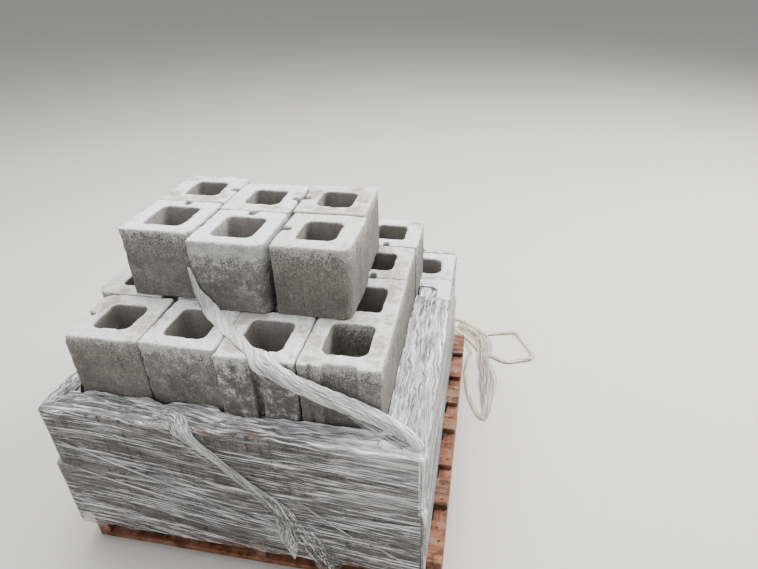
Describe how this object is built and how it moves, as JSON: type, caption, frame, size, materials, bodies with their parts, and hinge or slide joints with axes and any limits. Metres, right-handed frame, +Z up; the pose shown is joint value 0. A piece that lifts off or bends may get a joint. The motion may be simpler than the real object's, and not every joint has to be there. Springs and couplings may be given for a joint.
{
  "type": "pallet of concrete blocks",
  "caption": "Hollow concrete blocks stacked in courses on a wood pallet, the lower courses in torn stretch wrap and the upper ones loose.",
  "frame": {"origin": "centre of the pallet's footprint, on the floor", "axes": "+Z up, +Y from the front of the load to its back, +X to the right seen from the front"},
  "size_m": [1.3405, 1.336, 0.903],
  "materials": {
    "concrete": "matte, moulded dry",
    "pallet_wood": "rough sawn",
    "stretch_film": "clear film in whitish crumpled layers"
  },
  "bodies": {
    "root": {"left_stringer": "pallet_wood", "centre_stringer": "pallet_wood", "right_stringer": "pallet_wood", "top_deck_board_1": "pallet_wood", "top_deck_board_2": "pallet_wood", "top_deck_board_3": "pallet_wood", "top_deck_board_4": "pallet_wood", "top_deck_board_5": "pallet_wood", "top_deck_board_6": "pallet_wood", "top_deck_board_7": "pallet_wood", "bottom_deck_board_1": "pallet_wood", "bottom_deck_board_2": "pallet_wood", "bottom_deck_board_3": "pallet_wood", "bottom_deck_board_4": "pallet_wood", "bottom_deck_board_5": "pallet_wood", "first_course_full_blocks": "concrete", "first_course_half_blocks": "concrete", "second_course_full_blocks": "concrete", "second_course_half_blocks": "concrete", "third_course_inner_blocks": "concrete", "third_front_left_block": "concrete", "third_front_middle_block": "concrete", "third_front_right_block": "concrete", "third_left_block": "concrete", "third_right_long_block": "concrete", "third_right_middle_block": "concrete", "third_right_back_block": "concrete", "top_front_left_block": "concrete", "top_front_middle_block": "concrete", "top_front_right_block": "concrete", "top_back_left_block": "concrete", "top_back_middle_block": "concrete", "top_back_right_block": "concrete", "film_wrap": "stretch_film", "film_strand": "stretch_film", "film_front_tail": "stretch_film", "film_ground_rope": "stretch_film", "film_ground_spread": "stretch_film"}
  },
  "joints": []
}
